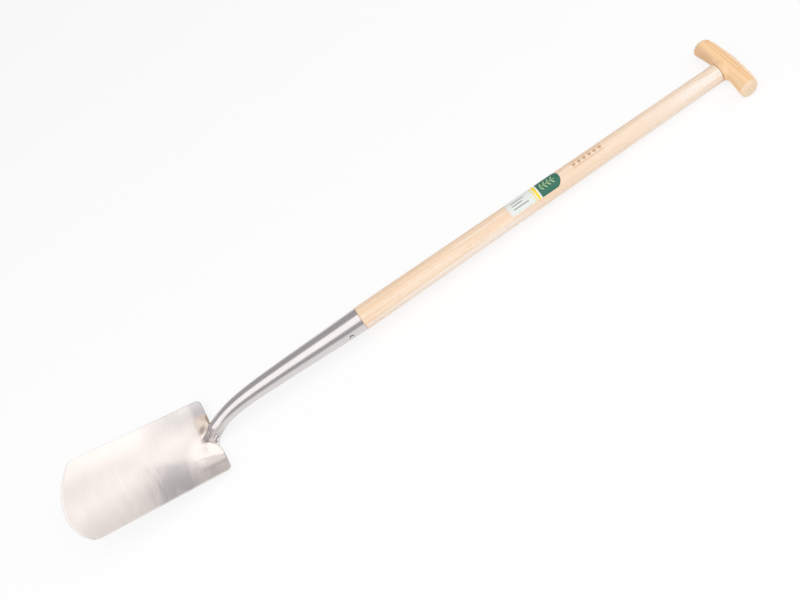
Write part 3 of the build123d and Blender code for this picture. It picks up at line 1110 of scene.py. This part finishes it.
def boss_rings():
    """Rings from the shoulder on the shaft, flaring until they lie along the bar, and on into its middle."""
    rings = [round_ring(shaft_length, 0, boss_radius - arris)]
    for step in range(flare_steps + 1):
        row = []
        for turn in circle():
            over = Vector((0, cos(turn), sin(turn)))
            reach = 1 / sqrt((cos(turn) / boss_half_spread) ** 2 + (sin(turn) / boss_half_height) ** 2)
            end = in_grip(over, reach)
            arrive = (end - in_grip(over, reach - flare_step_back)).normalized() * flare_pull
            start = over * boss_radius
            start.x = shaft_length + arris
            row.append(bend(start, end, Vector((flare_pull, 0, 0)), arrive, step / flare_steps))
        rings.append(row)
    inside = arch_centre + arch_radius
    rings.append([Vector((inside, point.y / 2, point.z / 2)) for point in rings[-1]])
    return rings


def make_grip_ash():
    """Honey-coloured ash with its grain along the bar, darker lines on its outer side and pale end grain. Its
    paler outer side is painted light, and its darker inner side and a dark line where it meets the shaft are
    painted shade.
    """
    material = new_material("honey_ash", Specular_IOR_Level=0.3, Coat_Weight=0.2, Coat_Roughness=0.3)
    grain_lie = lie @ Matrix.Translation((arch_centre + arch_radius, 0, 0))
    place = millimetres(material, grain_lie @ Matrix.Rotation(radians(90), 4, "Z"))
    x, y, _ = axes_of(place)
    grain = use_group(ash_grain, Place=place, Pith=(0, 75.6, -30), Ring_Width=3.0, Wander=9.0)
    colour = tint(grain["Streaks"], (0.97, 0.66, 0.37), (0.98, 0.74, 0.47))
    # Paler outer side: painted light.
    colour = tint(climb(y, -3.0, -11.0) * 0.8, colour, (0.99, 0.85, 0.68))
    # Darker inner side, strongest on the far half: painted shade.
    inner = climb(y, 7.0, 15.0) * spread(climb(x, 5.0, 30.0), 0.35, 1.0)
    colour = tint(inner * 0.6, colour, (0.68, 0.41, 0.23))
    outer = spread(climb(y, 5.0, 1.0), 0.10, 0.90) * spread(climb(y, -12.0, -7.0), 0.35, 1.0)
    colour = tint(grain["Rings"] ** 2.0 * outer, colour, (0.80, 0.38, 0.13))
    colour = tint(grain["Pores"] * 0.25, colour, (0.45, 0.26, 0.12))
    rays = climb(cloud(place, (30, 1.5, 4.0)), 0.42, 0.60)
    end_grain = tint(rays * 0.7, (0.94, 0.78, 0.60), (0.76, 0.56, 0.37))
    colour = tint(climb(abs(x), 53.4, 54.4) * 0.8, colour, end_grain)
    # Painted shade in the joint where the shaft meets the grip.
    grip_joint_painted_shade = climb(y, 17.8, 18.8) * 0.5 * climb(abs(x), 19.0, 17.0)
    colour = tint(grip_joint_painted_shade, colour, (0.40, 0.20, 0.09))
    rough = spread(grain["Rings"], 0.50, 0.40)
    return dress(material, colour, rough, grain["Pores"], 0.5, 0.00015, invert=True)


honey_ash = make_grip_ash()
grip = add_lines("arched_grip", [[(0, -grip_half_width, 0), (0, grip_half_width, 0)]], Matrix())
sizes = {
    "Half Width": grip_half_width, "Bar Radius": bar_radius, "End Rounding": grip_end_rounding,
    "Arch Radius": arch_radius, "Rings": grip_rings, "Sides": ring_points, "Wood": honey_ash,
}
grow_piece(grip, make_arched_bar(), sizes)
grip.data.transform(lie @ Matrix.Translation((arch_centre, 0, 0)))
carve(grip, add_piece("boss", ring_skin(boss_rings()), lie), "UNION")
bore_ends = (shaft_length - bore_before_shoulder, shaft_length + bore_past_shoulder)
bore = ring_skin([round_ring(along, 0, bore_radius) for along in bore_ends])
carve(grip, add_piece("bore", bore, lie), "DIFFERENCE")
clad(grip, honey_ash)
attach(grip, "root")
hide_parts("grip")


# Wedge
# A thin slip of darker hardwood that spreads the tenon in the grip. It is driven into the tenon's saw cut
# from the grip's outer side and cut off flush, and its grain runs along the shaft.


def make_wedge_wood():
    """Sawn hardwood with its grain along the shaft."""
    material = new_material("sawn_wedge")
    place = millimetres(material, lie)
    grain = use_group(ash_grain, Place=place, Pith=(0, 14, 30), Ring_Width=1.6, Wander=2.0)
    ringed = tint(grain["Rings"], (0.50, 0.32, 0.18), (0.34, 0.19, 0.09))
    colour = tint(grain["Pores"] * 0.5, ringed, (0.20, 0.11, 0.06))
    return dress(material, colour, spread(grain["Rings"], 0.75, 0.6), grain["Pores"], 0.5, 0.0001)


clad(frame["nodes"]["grip_wedge"], make_wedge_wood())


# Label
# A paper sticker wrapped over the shaft's front, round at the end toward the grip. It is printed pale grey
# with a green field, yellow bars and a plain leaf sprig.

label_start = 0.270
label_length = 0.092
label_half_width = 0.0135
label_corner = 0.004
label_end_rounding = 0.012
label_lift = 0.00005
label_thickness = 0.00020


def label_reach(along):
    """Half the label's width at a place along it, with a rounding at each end."""
    for gap, rounding in ((label_length - along, label_end_rounding), (along, label_corner)):
        if gap < rounding:
            return label_half_width - rounding + sqrt(max(rounding**2 - (rounding - gap) ** 2, 0))
    return label_half_width


def label_skin(rows=80, columns=24):
    """Points and faces of the sticker: a sheet over the shaft, its underside and the cut edge."""
    points = []
    for lift in (label_lift + label_thickness, label_lift):
        for row in range(rows + 1):
            along = label_length * (1 - cos(pi * row / rows)) / 2
            radius = shaft_radius(label_start + along) + lift
            for column in range(columns + 1):
                across = label_reach(along) * (2 * column / columns - 1)
                points.append((label_start + along, across, sqrt(radius**2 - across**2)))
    faces, rim = sheet_faces(rows, columns)
    return points, faces + band(rim, [len(points) // 2 + index for index in rim])


def between(value, low, high, soft=0.15):
    """Mask of the values between two limits, with soft ends."""
    return climb(value, low - soft, low + soft) * climb(value, high + soft, high - soft)


def make_label_paper():
    """Printed paper with a low gloss."""
    material = new_material("printed_paper", Specular_IOR_Level=0.4)
    place = millimetres(material, lie @ Matrix.Translation((label_start, 0, 0)))
    x, y, _ = axes_of(place)
    paper = tint(cloud(place, (12, 12, 12)), (0.76, 0.79, 0.75), (0.84, 0.87, 0.83))
    green = tint(cloud(place, (20, 8, 8)), (0.020, 0.125, 0.085), (0.045, 0.20, 0.135))
    colour = tint(between(x, 54, 100), paper, green)
    for start, end in ((47.5, 51.5), (44.0, 45.4)):
        colour = tint(between(x, start, end), colour, (0.97, 0.72, 0.03))
    for middle, end in ((-7.0, 34.0), (-1.5, 26.0), (4.0, 30.0)):
        rule = between(y, middle - 0.9, middle + 0.9) * between(x, 8, end)
        colour = tint(rule, colour, (0.30, 0.38, 0.34))
    leaf_pitch, leaf_lean, leaf_middle = 6.4, radians(52), 4.6
    leaf_half_length, leaf_half_width = 3.6, 1.1
    cell = calc("WRAP", x, leaf_pitch, 0.0)
    along_leaf = cell * cos(leaf_lean) + abs(y) * sin(leaf_lean)
    off_leaf = abs(y) * cos(leaf_lean) - cell * sin(leaf_lean)
    narrowing = ((along_leaf - leaf_middle) / leaf_half_length) ** 2.0 * leaf_half_width
    leaf = climb(abs(off_leaf) + narrowing, leaf_half_width + 0.1, leaf_half_width - 0.2)
    sprig = calc("MAXIMUM", leaf, climb(abs(y), 0.7, 0.4)) * between(x, 58, 84)
    colour = tint(sprig, colour, (0.42, 0.58, 0.30))
    fibres = cloud(place, (0.6, 0.6, 0.6), 3)
    return dress(material, colour, spread(fibres, 0.32, 0.48), fibres, 0.3, 0.00002)


label = add_piece("wrapped_label", label_skin(), lie)
clad(label, make_label_paper())
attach(label, "root")
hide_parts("label")


# Studio
# A white sweep of paper under a wide soft box, with a box past the blade, two fills that don't show in gloss,
# four cards that light only the blade, and a grey room round them. The camera looks down across the near
# side, rolled so that the shaft climbs to the right.

floor_half = 12.0
camera_place = Vector((0.0630, -0.9124, 1.2848))
camera_aim = Vector((0.0637, -0.0123, 0))
camera_roll = radians(-37.53)
camera_lens = 47.45
room_colour = (0.46, 0.45, 0.46, 1)
box_white = (1.0, 0.985, 0.97)
card_white = (1.0, 0.96, 0.93)
soft_boxes = (
    ("over_box", (-0.1, -0.79, 1.9), 0, (4.6, 2.52), 0.92, box_white),
    ("fill_box", (-0.1, -0.85, 2.0), 0, (4.8, 2.5), 0.24, box_white),
    ("left_box", (-2.45, -0.79, 0.95), -90, (1.9, 2.52), 0.92, box_white),
    ("right_fill", (2.6, -0.79, 0.95), 90, (1.9, 2.52), 0.90, box_white),
    ("blade_box", (-0.805, 0.1675, 0.3), 0, (0.89, 0.115), 0.98, card_white),
    ("nose_box", (-0.13, 0.1475, 0.3), 0, (0.46, 0.325), 0.98, card_white),
    ("tip_box", (-0.9325, 0.6125, 0.3), 0, (0.985, 0.775), 0.56, card_white),
    ("corner_box", (-0.11, 0.6575, 0.3), 0, (0.42, 0.685), 0.37, card_white),
)
out_of_gloss = ("fill_box", "right_fill")
blade_only = ("blade_box", "nose_box", "tip_box", "corner_box")


def make_floor_paper():
    """White paper that keeps the shadow and shows to the camera and in the metal as a lit white sweep."""
    material = bpy.data.materials.new("white_sweep")
    material.use_nodes = True
    tree = material.node_tree
    tree.nodes.clear()
    paper = result(tree, "ShaderNodeBsdfDiffuse", {"Color": (0.95, 0.95, 0.95, 1)})
    glow = result(tree, "ShaderNodeEmission", {"Color": (1, 1, 1, 1), "Strength": 1.0})
    lit = result(tree, "ShaderNodeMixShader", {0: 0.8, 1: paper, 2: glow})
    path = outputs(add_node(tree, "ShaderNodeLightPath"))
    seen = calc("MAXIMUM", path["Is Camera Ray"], path["Is Glossy Ray"])
    seen = calc("MAXIMUM", seen, path["Is Transmission Ray"])
    shown = result(tree, "ShaderNodeMixShader", {0: seen, 1: paper, 2: lit})
    add_node(tree, "ShaderNodeOutputMaterial", {"Surface": shown})
    return material


floor_mesh = bpy.data.meshes.new("floor")
floor_corners = [(floor_half * x, floor_half * y, 0) for x, y in ((-1, -1), (1, -1), (1, 1), (-1, 1))]
floor_mesh.from_pydata(floor_corners, [], [(0, 1, 2, 3)])
floor = add_object("floor", floor_mesh)
clad(floor, make_floor_paper())

blade_alone = bpy.data.collections.new("blade_alone")
blade_alone.objects.link(blade)
for box_name, place, turn, size, brightness, colour in soft_boxes:
    box = bpy.data.lights.new(box_name, "AREA")
    box.shape = "RECTANGLE"
    box.size, box.size_y = size
    box.energy = brightness * pi * size[0] * size[1]
    box.color = colour
    lamp = add_object(box_name, box)
    lamp.location = place
    lamp.rotation_euler = (0, radians(turn), 0)
    lamp.visible_camera = False
    lamp.visible_glossy = box_name not in out_of_gloss
    if box_name in blade_only:
        lamp.light_linking.receiver_collection = blade_alone

world = bpy.data.worlds.new("grey_room")
world.use_nodes = True
world.node_tree.nodes["Background"].inputs["Color"].default_value = room_colour
scene.world = world

camera = bpy.data.cameras.new("camera")
camera.lens = camera_lens
camera.sensor_width = 36.0
camera_stand = add_object("camera", camera)
view_line = lie.to_3x3() @ (camera_aim - camera_place)
camera_turn = view_line.to_track_quat("-Z", "Y").to_matrix() @ Matrix.Rotation(camera_roll, 3, "Z")
camera_stand.matrix_world = Matrix.Translation(lie @ camera_place) @ camera_turn.to_4x4()
scene.camera = camera_stand
scene.view_settings.view_transform = "Standard"
